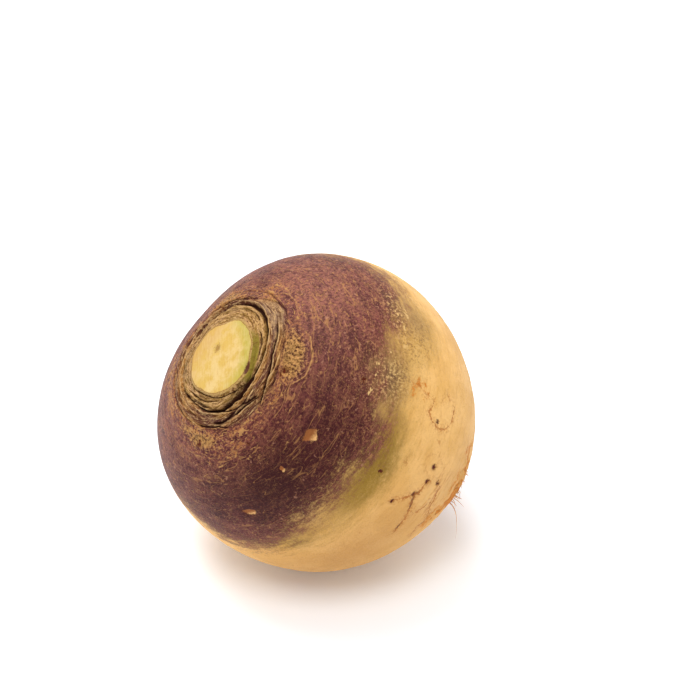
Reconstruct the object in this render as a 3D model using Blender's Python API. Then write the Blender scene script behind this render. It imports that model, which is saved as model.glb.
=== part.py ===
"""A rutabaga as lifted and topped: one grown root, lying tilted on a small flat spot of its side.

Metres, +Z up. The origin is on the floor, at the middle of the flat spot that the root rests on.
The root is first made upright in its own axes, crown up with its widest girth at height 0, and is
then laid over. Directions on it are an azimuth round its axis and a polar angle from its crown.
"""

import math

import bmesh
import bpy
from mathutils import Matrix, Vector

MM = 0.001

# The swollen root: a globe, very slightly squared off over the crown.
GIRTH_RADIUS = 55.4 * MM
CROWN_RISE = 54.2 * MM
ROOT_DROP = 54.8 * MM
CROWN_FULLNESS = 2.15
ROOT_FULLNESS = 2.05

# The neck, where the leaves were cut off: a short stub with a slightly domed cut face.
NECK_RADIUS = 14.2 * MM
NECK_TOP = 55.2 * MM
CUT_DOME = 0.6 * MM
NECK_EDGE = 0.5 * MM

# Rings of old leaf scars below the neck. Each is a ledge that ends in a low step: radius of its
# lip, and how far the lip stands over the globe.
SCAR_STEPS = (
    (17.0 * MM, 0.8 * MM),
    (20.4 * MM, 0.9 * MM),
    (24.4 * MM, 0.8 * MM),
    (29.0 * MM, 0.6 * MM),
)
SCAR_RISER = 0.6 * MM

# The neck stands off the axis, and each ledge drifts its own way, as leaves grow round in turn.
# Radius out to which a drift holds, and the drift along the root's own two cross axes.
NECK_DRIFT = (14.6 * MM, -3.2 * MM, 1.5 * MM)
LEDGE_DRIFTS = (
    (17.6 * MM, -2.0 * MM, 2.1 * MM),
    (21.0 * MM, -1.6 * MM, 0.4 * MM),
    (25.0 * MM, -0.4 * MM, 1.3 * MM),
    (29.6 * MM, -0.9 * MM, 0.2 * MM),
    (36.0 * MM, 0.0, 0.0),
)

# The trimmed taproot: a blunt stump that flares into the globe.
STUMP_RADIUS = 6.0 * MM
STUMP_LENGTH = 5.5 * MM
STUMP_FLARE = 8.0 * MM

# Uneven growth: azimuth and polar angle of a swell or hollow, its spread, and its height.
SWELLS = (
    (257.0, 48.0, 34.0, -3.5 * MM),
    (343.0, 68.0, 30.0, 1.2 * MM),
    (150.0, 128.0, 38.0, -1.1 * MM),
    (20.0, 120.0, 40.0, 0.8 * MM),
    (235.0, 105.0, 34.0, 1.0 * MM),
    (112.0, 114.0, 26.0, 1.4 * MM),
)

# How it lies: the crown leans from upright, over a heading counted from +X.
CROWN_LEAN = 48.4
CROWN_HEADING = -145.2
FLAT_SPOT_DEPTH = 1.4 * MM

AROUND = 72
RINGS_ON_CUT = 3
RINGS_PER_LEDGE = 2
RINGS_ON_GLOBE = 30
RINGS_ON_STUMP = 3


def globe_height(radius):
    """Height of the crown half of the globe at a distance from the axis."""
    share = min(radius / GIRTH_RADIUS, 1.0)
    return CROWN_RISE * (1.0 - share**CROWN_FULLNESS) ** (1.0 / CROWN_FULLNESS)


def globe_point(polar):
    """Radius and height of the bare globe at a polar angle, counted in radians from the crown."""
    across, along = math.sin(polar), math.cos(polar)
    rise, power = (CROWN_RISE, CROWN_FULLNESS) if along > 0 else (ROOT_DROP, ROOT_FULLNESS)
    size = ((across / GIRTH_RADIUS) ** power + (abs(along) / rise) ** power) ** (-1.0 / power)
    return size * across, size * along


def neck_outline():
    """From the middle of the cut face out over its edge."""
    points = []
    for ring in range(RINGS_ON_CUT + 1):
        radius = (NECK_RADIUS - NECK_EDGE) * ring / RINGS_ON_CUT
        points.append((radius, NECK_TOP + CUT_DOME * (1.0 - (radius / NECK_RADIUS) ** 2)))
    points.append((NECK_RADIUS, NECK_TOP - NECK_EDGE))
    return points


def scar_outline():
    """The stepped ground of leaf scars, from the foot of the neck down to the smooth shoulder."""
    points = []
    start = NECK_RADIUS + 0.4 * MM
    for lip, height in SCAR_STEPS:
        for ring in range(RINGS_PER_LEDGE + 1):
            share = ring / RINGS_PER_LEDGE
            radius = start + (lip - start) * share
            points.append((radius, globe_height(radius) + height * share))
        start = lip + SCAR_RISER
    points.append((start, globe_height(start)))
    return points


def globe_outline(start_radius):
    """Over the girth and down to where the stump begins."""
    first = math.atan2(start_radius, globe_height(start_radius))
    last = math.pi - math.asin((STUMP_RADIUS + STUMP_FLARE) / ROOT_DROP)
    turn = (last - first) / RINGS_ON_GLOBE
    return [globe_point(first + turn * ring) for ring in range(1, RINGS_ON_GLOBE + 1)]


def stump_outline(start):
    """A quarter-round flare into a blunt stump, closed at the axis."""
    radius, height = start
    end = -ROOT_DROP - STUMP_LENGTH
    points = []
    for ring in range(1, RINGS_ON_STUMP + 1):
        turn = 0.5 * math.pi * ring / RINGS_ON_STUMP
        points.append(
            (
                STUMP_RADIUS + (radius - STUMP_RADIUS) * (1.0 - math.sin(turn)),
                height + (end + 1.2 * MM - height) * (1.0 - math.cos(turn)),
            )
        )
    points.append((0.7 * STUMP_RADIUS, end))
    points.append((0.0, end))
    return points


def outline():
    """The whole meridian, from the middle of the cut face to the tip of the stump."""
    points = neck_outline() + scar_outline()
    points += globe_outline(points[-1][0])
    return points + stump_outline(points[-1])


def direction(azimuth, polar):
    """Unit vector for an azimuth and a polar angle in degrees."""
    azimuth, polar = math.radians(azimuth), math.radians(polar)
    flat = math.sin(polar)
    return Vector((flat * math.cos(azimuth), flat * math.sin(azimuth), math.cos(polar)))


def turned_root():
    """The outline spun round the axis into one closed mesh."""
    mesh = bmesh.new()
    points = [mesh.verts.new((radius, 0.0, height)) for radius, height in outline()]
    edges = [mesh.edges.new(pair) for pair in zip(points, points[1:])]
    bmesh.ops.spin(
        mesh, geom=points + edges, axis=(0, 0, 1), cent=(0, 0, 0),
        angle=2.0 * math.pi, steps=AROUND,
    )
    bmesh.ops.remove_doubles(mesh, verts=mesh.verts, dist=0.00001)
    bmesh.ops.recalc_face_normals(mesh, faces=mesh.faces)
    return mesh


def drift_at(radius):
    """How far the crown has drifted sideways at a distance from the axis."""
    inner = NECK_DRIFT
    if radius <= inner[0]:
        return Vector((inner[1], inner[2], 0.0))
    for outer in LEDGE_DRIFTS:
        hold = outer[0] - SCAR_RISER
        if radius <= outer[0]:
            share = min((radius - inner[0]) / (hold - inner[0]), 1.0)
            return Vector((inner[1], inner[2], 0.0)).lerp(Vector((outer[1], outer[2], 0.0)), share)
        inner = outer
    return Vector()


def drift_crown(mesh):
    """Sets the neck and its ledges off centre."""
    for point in mesh.verts:
        if point.co.z > 0.0:
            point.co += drift_at(point.co.xy.length)


def grow_unevenly(mesh):
    """Each swell moves the surface out, and each hollow in, most at its middle."""
    swells = [
        (direction(azimuth, polar), math.radians(spread), height)
        for azimuth, polar, spread, height in SWELLS
    ]
    for point in mesh.verts:
        ray = point.co.normalized()
        grown = sum(
            height * math.exp(-((ray.angle(middle) / spread) ** 2))
            for middle, spread, height in swells
        )
        point.co += ray * grown


def lay_over(mesh):
    """Leans the crown over its heading."""
    lean = Matrix.Rotation(math.radians(CROWN_LEAN), 4, "Y")
    heading = Matrix.Rotation(math.radians(CROWN_HEADING), 4, "Z")
    bmesh.ops.transform(mesh, matrix=heading @ lean, verts=mesh.verts)


def flatten_underside(mesh):
    """Cuts the small flat spot, and puts its middle at the origin."""
    floor = min(point.co.z for point in mesh.verts) + FLAT_SPOT_DEPTH
    cut = bmesh.ops.bisect_plane(
        mesh,
        geom=mesh.verts[:] + mesh.edges[:] + mesh.faces[:],
        plane_co=(0, 0, floor), plane_no=(0, 0, 1), clear_inner=True,
    )
    rim = [piece for piece in cut["geom_cut"] if isinstance(piece, bmesh.types.BMEdge)]
    filled = bmesh.ops.contextual_create(mesh, geom=rim)["faces"][0]
    middle = filled.calc_center_median()
    bmesh.ops.translate(mesh, vec=-middle, verts=mesh.verts)
    bmesh.ops.recalc_face_normals(mesh, faces=mesh.faces)


def skin_material():
    """Purple-brown skin, dull with a faint sheen."""
    material = bpy.data.materials.new("rutabaga_skin")
    material.use_nodes = True
    shader = material.node_tree.nodes["Principled BSDF"]
    shader.inputs["Base Color"].default_value = (0.22, 0.09, 0.065, 1.0)
    shader.inputs["Roughness"].default_value = 0.55
    shader.inputs["Metallic"].default_value = 0.0
    return material


def clear_scene():
    for thing in list(bpy.data.objects):
        bpy.data.objects.remove(thing)


def main():
    clear_scene()
    mesh = turned_root()
    drift_crown(mesh)
    grow_unevenly(mesh)
    lay_over(mesh)
    flatten_underside(mesh)
    data = bpy.data.meshes.new("rutabaga")
    mesh.to_mesh(data)
    mesh.free()
    data.materials.append(skin_material())
    data.shade_smooth()
    data.set_sharp_from_angle(angle=math.radians(35.0))
    bpy.context.scene.collection.objects.link(bpy.data.objects.new("rutabaga", data))


main()
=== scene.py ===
import math
import random

import bpy
import numpy as np
from mathutils import Matrix, Vector, noise


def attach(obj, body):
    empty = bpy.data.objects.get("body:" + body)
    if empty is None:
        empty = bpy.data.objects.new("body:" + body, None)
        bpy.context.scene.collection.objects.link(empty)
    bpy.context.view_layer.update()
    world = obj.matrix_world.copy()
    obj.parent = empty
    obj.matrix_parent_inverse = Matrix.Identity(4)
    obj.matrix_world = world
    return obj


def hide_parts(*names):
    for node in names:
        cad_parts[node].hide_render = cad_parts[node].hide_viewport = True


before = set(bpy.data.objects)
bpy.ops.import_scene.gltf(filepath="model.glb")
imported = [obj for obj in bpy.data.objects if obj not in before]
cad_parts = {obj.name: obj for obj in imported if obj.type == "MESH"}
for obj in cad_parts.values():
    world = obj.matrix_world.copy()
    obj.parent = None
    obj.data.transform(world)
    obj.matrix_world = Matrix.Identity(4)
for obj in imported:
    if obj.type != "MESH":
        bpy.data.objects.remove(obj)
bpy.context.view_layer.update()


# ------------------------------------------------------------------------------------------------
# The rutabaga: one grown root, from its cut neck to its trimmed taproot. It is dense yellow flesh
# under a thin skin, purple where it stood above the soil. A ball is drawn out to the outline of
# the root and sculpted with its leaf scars, wrinkles and wounds, and is then laid on its side.
# Sizes are in mm and angles in degrees. A place on it is an azimuth round its axis and a polar
# angle from its crown, or near the crown an azimuth and a distance from the axis.
# ------------------------------------------------------------------------------------------------
MM = 0.001
ROOT_CENTRE = (-0.534, -0.031, 54.83)
CROWN_LEAN = 48.4
CROWN_HEADING = -145.2

GIRTH_RADIUS = 55.4
CROWN_RISE = 54.2
ROOT_DROP = 54.8
CROWN_FULLNESS = 2.15
ROOT_FULLNESS = 2.05
SWELLS = (
    (257, 48, 34, -3.5),
    (343, 68, 30, 1.2),
    (150, 128, 38, -1.1),
    (20, 120, 40, 0.8),
    (235, 105, 34, 1.0),
    (112, 114, 26, 1.4),
)

NECK_RADIUS = 14.2
NECK_TOP = 55.3
CUT_DOME = 0.5
PITH_PLACE = (-4.2, -1.6)
NECK_FOOT = 14.45
CROWN_REACH = 34.0
STUMP_RADIUS = 6.0
STUMP_LENGTH = 5.5
STUMP_FLARE = 8.0

FINE_FOLDS = 26
AROUND = 320
FRONT = 95.0
FRONT_CROWDING = 0.4

# How far the middle of each ring of the crown stands off the axis, along the root's cross axes.
NECK_MIDDLE = (-3.0, 1.6)
CROWN_DRIFT = (
    (0.0, *NECK_MIDDLE),
    (14.6, *NECK_MIDDLE),
    (18.4, -3.3, 0.0),
    (24.0, -1.4, 0.0),
    (34.0, 0.0, 0.0),
)

# Gaps between the leaf bases: depth, height of the papery lip outside the gap, and the course as
# stations of azimuth, distance from the axis and width.
LEAF_GAPS = {
    "round_the_neck": (2.0, 0.35, (
        (10, 15.7, 0.4), (30, 17.0, 0.5), (48, 17.6, 0.8), (60, 17.3, 1.5), (80, 17.3, 1.7),
        (95, 17.4, 1.6), (105, 18.2, 0.7), (118, 19.3, 0.5), (135, 20.1, 0.5), (150, 21.6, 0.6),
        (165, 22.7, 0.8), (185, 23.2, 0.9), (200, 22.7, 0.9), (215, 21.8, 0.7), (240, 20.5, 1.2),
        (252, 19.3, 1.0), (262, 18.2, 0.6), (280, 17.4, 0.4), (300, 16.8, 0.35),
        (322, 16.6, 0.5), (335, 16.5, 0.7), (350, 15.8, 0.4), (370, 15.7, 0.4),
    )),
    "front_fork": (1.1, 0.25, (
        (46, 17.9, 0.4), (58, 19.0, 0.4), (68, 19.8, 0.4), (78, 20.5, 0.4), (87, 21.6, 0.5),
        (94, 22.9, 0.4),
    )),
    "front_outer": (1.2, 0.3, (
        (34, 21.1, 0.4), (50, 21.3, 0.5), (62, 21.1, 0.5), (75, 21.3, 0.6), (84, 22.0, 0.7),
        (94, 23.4, 0.5),
    )),
    "upper_outer": (1.3, 0.35, (
        (82, 24.9, 0.4), (92, 23.6, 0.7), (101, 22.9, 0.7), (113, 22.5, 0.5), (126, 22.3, 0.5),
        (136, 23.1, 0.5), (147, 24.3, 0.5), (158, 25.2, 0.4),
    )),
    "low_outer": (0.8, 0.15, (
        (14, 21.6, 0.4), (30, 21.7, 0.5), (42, 22.3, 0.5), (55, 24.2, 0.4),
    )),
    "green_base": (0.7, 0.2, (
        (118, 17.6, 0.35), (130, 18.3, 0.4), (142, 19.0, 0.4), (152, 19.2, 0.35),
        (160, 18.8, 0.3),
    )),
    "upper_fold": (0.5, 0.2, (
        (162, 20.3, 0.4), (178, 21.2, 0.4), (195, 20.6, 0.4), (212, 19.0, 0.4), (226, 17.8, 0.4),
    )),
    "left_fold": (0.6, 0.2, (
        (255, 21.2, 0.5), (272, 20.4, 0.5), (290, 19.8, 0.4), (308, 19.2, 0.35),
    )),
    "low_fold": (0.4, 0.15, (
        (316, 18.6, 0.35), (335, 19.2, 0.35), (350, 18.9, 0.3), (372, 18.9, 0.3), (386, 19.7, 0.3),
    )),
    "low_edge": (0.5, 0.0, (
        (296, 22.5, 0.4), (325, 21.9, 0.4), (345, 21.5, 0.4), (374, 21.6, 0.4),
    )),
    "left_edge": (0.6, 0.25, (
        (196, 24.8, 0.4), (215, 23.9, 0.5), (232, 23.3, 0.5), (250, 22.9, 0.5), (268, 22.7, 0.5),
        (286, 22.5, 0.4),
    )),
    "grey_scar_edge": (0.5, 0.1, (
        (141, 25.2, 0.35), (150, 27.0, 0.4), (158, 28.4, 0.4), (166, 28.9, 0.4),
        (175, 28.2, 0.4), (183, 26.8, 0.35), (191, 25.2, 0.35),
    )),
    "right_edge": (0.4, 0.15, (
        (95, 25.6, 0.35), (106, 25.0, 0.4), (115, 24.7, 0.4), (126, 24.8, 0.4), (137, 25.8, 0.4),
        (146, 27.2, 0.35),
    )),
    "old_lobe": (0.1, 0.35, (
        (104, 26.8, 0.4), (109, 29.6, 0.4), (115, 32.4, 0.4), (126, 33.6, 0.4), (139, 32.8, 0.4),
        (148, 30.2, 0.4), (151, 28.8, 0.4),
    )),
    "old_lobe_above": (0.1, 0.3, (
        (149, 28.8, 0.4), (157, 31.0, 0.4), (166, 31.8, 0.4), (175, 31.7, 0.4), (182, 29.8, 0.4),
        (186, 27.6, 0.4),
    )),
}

# Where the leaf scars end and the smooth skin begins: azimuth and distance from the axis.
SCAR_EDGE = (
    (0, 21.5), (30, 21.8), (45, 22.6), (60, 24.3), (90, 24.6), (105, 25.0), (116, 24.7),
    (130, 25.0), (140, 26.0), (150, 27.4), (158, 28.4), (166, 28.9), (175, 28.2), (183, 26.5),
    (192, 25.2), (205, 24.4), (232, 23.2), (268, 22.6), (300, 22.4), (325, 21.8), (360, 21.5),
)

# Where the colours change down the side: azimuth and polar angle.
PURPLE_EDGE = (
    (0, 58), (10, 63), (20, 68), (34, 70), (52, 66), (65, 63), (86, 62), (93, 65), (102, 66),
    (110, 62), (128, 57), (140, 62), (148, 67), (163, 72), (174, 72), (190, 67), (210, 61),
    (240, 64), (270, 60), (300, 66), (330, 63), (360, 58),
)
OLIVE_EDGE = (
    (0, 62), (18, 71), (36, 76), (50, 79), (76, 80), (102, 80), (109, 78), (118, 74), (130, 78),
    (142, 87), (151, 89), (160, 84), (176, 83), (190, 77), (210, 71), (240, 77), (270, 71),
    (300, 79), (330, 69), (360, 62),
)

# Coloured patches: azimuth, polar angle, reach down the side, reach round it, and strength.
PATCHES = {
    "rust": (
        (127, 31, 4.5, 9, 1.0), (20, 27, 4.5, 9, 0.9), (228, 29, 6, 11, 0.8), (330, 27, 3, 9, 0.6),
        (60, 30, 4, 8, 0.35), (300, 30, 5, 10, 0.4), (45, 33, 5, 9, 0.3), (185, 33, 4, 6, 0.3),
    ),
    "pitted": (
        (127, 31, 4.5, 10, 1.0), (22, 28, 3.5, 9, 0.8), (5, 26, 3, 6, 0.6), (228, 29, 4, 9, 0.8),
        (300, 28, 4, 8, 0.5),
    ),
    # The deep patches are partly darker skin and partly painted shade.
    "deep_and_shade": ((65, 50, 15, 38, 1.0), (300, 52, 14, 30, 0.6), (100, 40, 12, 22, 0.4)),
    # The pale patches are partly paler skin and partly a painted sheen.
    "pale_and_sheen": ((172, 46, 20, 26, 1.0), (330, 42, 16, 26, 0.8), (245, 50, 16, 20, 0.6)),
    "green": ((90, 72, 8, 20, 1.0), (45, 74, 5, 14, 0.6), (285, 72, 8, 20, 0.8)),
    "grey": ((124, 64, 9, 12, 1.0), (150, 78, 8, 9, 0.6), (220, 66, 9, 14, 0.8)),
    # The low patches are painted shade, darker low on the yellow side.
    "low_shade": ((58, 94, 22, 40, 1.0), (96, 112, 10, 20, 0.7)),
    "flaky": (
        (152, 70, 4, 15, 1.0), (124, 66, 8, 10, 0.8), (140, 76, 7, 10, 0.6), (215, 66, 6, 16, 0.8),
    ),
    "cork": (
        (99, 120, 8, 13, 1.0), (84, 116, 5, 6, 0.8), (280, 128, 9, 14, 1.0),
        (0, 166, 12, 60, 0.9), (180, 166, 12, 60, 0.9), (20, 106, 4, 8, 0.4),
        (123.5, 77.5, 5, 5, 0.4), (125.5, 91, 2.5, 2.5, 0.3), (97, 126, 3, 3.5, 1.5),
    ),
    "wrinkled": ((91, 105, 6, 8, 1.0), (205, 108, 7, 10, 0.7)),
}

# Small wounds in the skin, drawn as outlines of azimuth and polar angle, with their depth.
NICKS = (
    (0.7, ((84, 45), (88.5, 49), (93, 46.8), (90.3, 44))),
    (0.3, ((66.5, 46), (68.5, 45.5), (69, 47.5), (67, 48))),
    (0.35, ((37, 54), (41, 54), (44, 55), (43, 56.5), (39.5, 56))),
)
CRACKS = (
    (1.0, ((83.5, 86), (85, 88.5), (87.5, 91), (89, 93), (91, 94.5), (95, 95.5))),
    (1.0, ((89.5, 94), (87, 94.5), (82.5, 96), (78.5, 97.5), (74, 98.5))),
    (0.8, ((93, 105), (89.5, 106), (86.5, 107), (84, 108.5))),
    (0.6, ((88, 104), (85.5, 102.5), (83, 100.5))),
    (0.8, ((73, 112), (77, 110), (80, 111.5), (83.5, 110.5))),
    (0.25, (
        (102, 89), (104.5, 91.5), (105, 95), (103, 99.5), (100, 103), (97.5, 100),
        (97, 95.5), (98.5, 91), (102, 89),
    )),
    (0.6, ((121, 84.5), (117, 83.5), (114.5, 86), (113, 90), (114, 93.5), (116.5, 95.5), (121, 96))),
    (0.3, ((122.5, 89), (125.5, 91), (125, 94))),
    (0.4, ((125, 74), (124.5, 77), (122.5, 79), (122.5, 82))),
    (0.8, ((258, 98), (266, 101), (271, 99.5), (280, 104), (284, 110))),
    (0.7, ((200, 102), (204, 106), (203, 111))),
    (0.7, ((320, 92), (326, 95), (334, 94.5))),
)

# Dark lenticels and pits: azimuth, polar angle and radius.
SPOTS = (
    (100.5, 95, 0.9), (95, 95.5, 0.8), (96, 101.5, 0.7), (115, 88.5, 0.5),
    (91, 74, 0.6), (83.5, 86, 0.6), (89, 93, 0.7), (120, 55.5, 0.5),
    (116, 29, 0.6), (119, 30, 0.4), (112.5, 28, 0.4), (20, 29, 0.8),
    (7, 17, 0.5), (225, 23.5, 0.7), (60, 33, 0.4), (272, 92, 0.6),
    (300, 84, 0.5), (188, 96, 0.6), (238, 90, 0.5), (342, 100, 0.6),
)


def direction(azimuth, polar):
    """Unit vectors for azimuths and polar angles."""
    azimuth, polar = np.radians(azimuth), np.radians(polar)
    flat = np.sin(polar)
    return np.stack([flat * np.cos(azimuth), flat * np.sin(azimuth), np.cos(polar)], -1)


def globe_height(radius):
    """Height of the crown half of the bare globe at a distance from the axis."""
    share = np.clip(radius / GIRTH_RADIUS, 0.0, 1.0)
    return CROWN_RISE * (1.0 - share**CROWN_FULLNESS) ** (1.0 / CROWN_FULLNESS)


def globe_reach(polar):
    """Distance of the bare globe's surface from its middle at a polar angle."""
    across, along = np.sin(np.radians(polar)), np.cos(np.radians(polar))
    rise = np.where(along > 0, CROWN_RISE, ROOT_DROP)
    power = np.where(along > 0, CROWN_FULLNESS, ROOT_FULLNESS)
    return ((across / GIRTH_RADIUS) ** power + (np.abs(along) / rise) ** power) ** (-1.0 / power)


def outline_rings():
    """Radius, height and wall share of every ring from the crown's pole to the root's pole.

    The wall share is 0 on the cut face and 1 once the neck's wall has reached the ground."""
    face = np.linspace(0.0, 13.5, 20)
    edge = np.array([13.85, 14.08, NECK_RADIUS])
    wall = np.linspace(NECK_RADIUS + 0.03, NECK_FOOT, 7)
    ground = np.concatenate([np.arange(14.65, 26.0, 0.2), np.arange(26.3, CROWN_REACH, 0.3)])
    first = np.degrees(math.atan2(CROWN_REACH, globe_height(CROWN_REACH)))
    last = 180.0 - np.degrees(math.asin((STUMP_RADIUS + STUMP_FLARE) / ROOT_DROP))
    polar = np.linspace(first, last, 152)
    reach = globe_reach(polar)
    side, side_height = reach * np.sin(np.radians(polar)), reach * np.cos(np.radians(polar))
    end = -ROOT_DROP - STUMP_LENGTH
    flare = np.radians(np.linspace(0.0, 90.0, 17)[1:])
    flare_radius = STUMP_RADIUS + (side[-1] - STUMP_RADIUS) * (1.0 - np.sin(flare))
    flare_height = side_height[-1] + (end + 1.2 - side_height[-1]) * (1.0 - np.cos(flare))
    tip = np.linspace(STUMP_RADIUS - 0.4, 0.0, 9)
    tip_height = end + 0.5 * (tip / STUMP_RADIUS) ** 6
    radius = np.concatenate([face, edge, wall, ground, side, flare_radius, tip])
    height = np.concatenate([
        NECK_TOP + CUT_DOME * (1.0 - (face / NECK_RADIUS) ** 2),
        NECK_TOP - np.array([0.05, 0.22, 0.55]),
        np.full(len(wall), NECK_TOP - 0.7),
        globe_height(ground), side_height, flare_height, tip_height,
    ])
    wall_share = np.ones(len(radius))
    wall_share[: len(face) + len(edge)] = 0.0
    wall_share[len(face) + len(edge) :][: len(wall)] = np.linspace(0.0, 1.0, len(wall))
    return radius, height, wall_share


def round_course(azimuth, stations, value=1):
    """A drawn value at each azimuth, from stations right round the root."""
    stations = np.array(stations, float)
    return np.interp(azimuth % 360.0, stations[:, 0], stations[:, value])


def turned_from(azimuth, middle):
    """Degrees from a middle azimuth, -180 to 180."""
    return (azimuth - middle + 180.0) % 360.0 - 180.0


def soft_step(value):
    """Rises smoothly from 0 to 1 as the value does."""
    value = np.clip(value, 0.0, 1.0)
    return value * value * (3.0 - 2.0 * value)


def grown_noise(places, size, seed, share):
    """Smooth noise, about -1 to 1, with lumps size mm across, times the share that each has."""
    shift = Vector((13.7, 7.1, 3.3)) * seed
    grown = np.zeros(len(places))
    felt = np.broadcast_to(share, grown.shape) > 0.004
    lumps = (places[felt] / size).tolist()
    grown[felt] = [noise.noise(Vector(place) + shift) for place in lumps]
    return grown * share


def patch(azimuth, polar, spots):
    """Strength of a set of soft patches."""
    strength = np.zeros(len(azimuth))
    for spot_azimuth, spot_polar, down, around, most in spots:
        off_down = (polar - spot_polar) / down
        off_around = turned_from(azimuth, spot_azimuth) * np.sin(np.radians(polar)) / around
        strength = np.maximum(strength, most * np.exp(-(off_down**2) - off_around**2))
    return strength


def signed_from_line(places, course):
    """Distance in mm from a line drawn on the skin, negative on its left, and a mask round it."""
    course = np.array(course, float)
    points = direction(course[:, 0], course[:, 1]) * globe_reach(course[:, 1])[:, None]
    nearest = np.full(len(places), 99.0)
    signed = nearest.copy()
    near = np.zeros(len(places))
    for start, stop in zip(points, points[1:]):
        length = np.linalg.norm(stop - start)
        along = (stop - start) / length
        side = np.cross(start / np.linalg.norm(start), along)
        run = (places - start) @ along
        reached = start + along * np.clip(run, 0.0, length)[:, None]
        distance = np.linalg.norm(places - reached, axis=1)
        past = np.maximum(np.maximum(-run, run - length), 0.0)
        off = (places - start) @ side
        off = np.where(past > 0.0, np.where(off < 0, -distance, distance), off)
        closer = distance < nearest
        nearest = np.where(closer, distance, nearest)
        signed = np.where(closer, off, signed)
        near = np.where(closer, 1.0 - soft_step((distance - 1.8) / 1.2), near)
    return signed, near


def inside_outline(places, outline):
    """Distance in mm from an outline drawn on the skin, negative inside it."""
    outline = np.array(outline, float)
    points = direction(outline[:, 0], outline[:, 1]) * globe_reach(outline[:, 1])[:, None]
    middle = points.mean(0)
    out = middle / np.linalg.norm(middle)
    distance = np.full(len(places), -99.0)
    for start, stop in zip(points, np.roll(points, -1, 0)):
        along = (stop - start) / np.linalg.norm(stop - start)
        side = np.cross(out, along)
        if (middle - start) @ side > 0:
            side = -side
        distance = np.maximum(distance, (places - start) @ side)
    return np.where(np.linalg.norm(places - middle, axis=1) < 12.0, distance, 99.0)


RING_RADIUS, RING_HEIGHT, WALL_SHARE = outline_rings()
bpy.ops.object.select_all(action="DESELECT")
bpy.ops.mesh.primitive_uv_sphere_add(
    segments=AROUND, ring_count=len(RING_RADIUS) - 1, radius=1.0, location=(0.0, 0.0, 0.0)
)
root = bpy.context.object
root.name = "rutabaga_root"
ball = np.empty(len(root.data.vertices) * 3)
root.data.vertices.foreach_get("co", ball)
ball = ball.reshape(-1, 3)
ring = np.rint(np.arccos(np.clip(ball[:, 2], -1.0, 1.0)) / math.pi * (len(RING_RADIUS) - 1))
ring = ring.astype(int)
turn = np.arctan2(ball[:, 1], ball[:, 0])
turn = np.degrees(turn - FRONT_CROWDING * np.sin(turn - math.radians(FRONT)))

# Draw the ball out to the outline. The neck is flat on one side, and stands off the axis.
ring_radius = RING_RADIUS[ring]
on_neck = np.clip((18.4 - ring_radius) / 3.8, 0.0, 1.0)
neck_wobble = 0.025 * np.sin(np.radians(3 * turn + 40)) + 0.012 * np.sin(np.radians(7 * turn))
flat_side = 0.13 * np.exp(-((turned_from(turn, 218.0) / 26.0) ** 2))
radius = ring_radius * (1.0 - on_neck * (flat_side + neck_wobble * ring_radius / NECK_RADIUS))
drift = np.array(CROWN_DRIFT)
on_crown = ball[:, 2] > 0.0
drift_x = np.interp(ring_radius, drift[:, 0], drift[:, 1]) * on_crown
drift_y = np.interp(ring_radius, drift[:, 0], drift[:, 2]) * on_crown
places = np.stack([
    radius * np.cos(np.radians(turn)) + drift_x,
    radius * np.sin(np.radians(turn)) + drift_y,
    RING_HEIGHT[ring],
], -1)
axis_distance = np.hypot(places[:, 0], places[:, 1])
azimuth = np.degrees(np.arctan2(places[:, 1], places[:, 0])) % 360.0
wall_share = WALL_SHARE[ring]
on_ground = on_crown & (ring_radius >= NECK_FOOT) & (ring_radius < CROWN_REACH)
collar_rise = np.interp(ring_radius, (14.5, 18.3, 24.5, 30.0), (1.4, 1.0, 0.5, 0.0))
ground = globe_height(axis_distance) + collar_rise
near_neck = on_crown & (ring_radius < CROWN_REACH)
places[:, 2] = np.where(
    near_neck, (1.0 - wall_share) * places[:, 2] + wall_share * ground, places[:, 2]
)
rays = places / np.linalg.norm(places, axis=1, keepdims=True)
polar = np.degrees(np.arccos(np.clip(rays[:, 2], -1.0, 1.0)))

# Leaf scars: gaps between the leaf bases, each with a papery lip outside it.
neck_course = np.array(LEAF_GAPS["round_the_neck"][2], float)
neck_gap = np.interp(10.0 + (azimuth - 10.0) % 360.0, neck_course[:, 0], neck_course[:, 1])
from_gap = axis_distance - neck_gap
around = np.stack([np.cos(np.radians(azimuth)), np.sin(np.radians(azimuth))], -1)
lift = np.zeros(len(places))
marks = {"crevice": np.zeros(len(places)), "lip": np.zeros(len(places))}


def part_leaf_bases(number, depth, lip_height, first, last, middle, half_width):
    """Sinks one gap into the ground, and raises its lip."""
    along = first + (azimuth - first) % 360.0
    ends = on_ground * np.ones(len(places))
    if last - first < 360.0:
        ends *= soft_step((along - first) / 7.0) * soft_step((last - along) / 7.0)
    wander = np.concatenate([around * 4.0, np.full((len(places), 1), 3.7 * number)], 1)
    middle = middle + 0.3 * grown_noise(wander, 1.0, 1, ends)
    half_width = half_width * (1.05 + 0.5 * np.exp(-((turned_from(azimuth, 300.0) / 65.0) ** 2)))
    half_width = half_width * (1.0 + 0.6 * grown_noise(wander, 0.5, 2, ends))
    off = (axis_distance - middle) / half_width
    gap = ends * np.where(off < 0.0, np.exp(-((off / 1.4) ** 2)), np.exp(-(off**4)))
    lip = ends * np.exp(-(((axis_distance - middle - half_width - 0.35) / 0.32) ** 2))
    # The crevice mark is where the gap is painted in shade.
    marks["crevice"] = np.maximum(marks["crevice"], gap * min(1.0, 0.25 + depth))
    marks["lip"] = np.maximum(marks["lip"], lip * min(1.0, 3.0 * lip_height))
    return lip_height * lip - depth * gap


for number, (depth, lip_height, course) in enumerate(LEAF_GAPS.values()):
    course = np.array(course, float)
    along = course[0, 0] + (azimuth - course[0, 0]) % 360.0
    lift += part_leaf_bases(
        number, depth, lip_height, course[0, 0], course[-1, 0],
        np.interp(along, course[:, 0], course[:, 1]),
        0.5 * np.interp(along, course[:, 0], course[:, 2]),
    )

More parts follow.
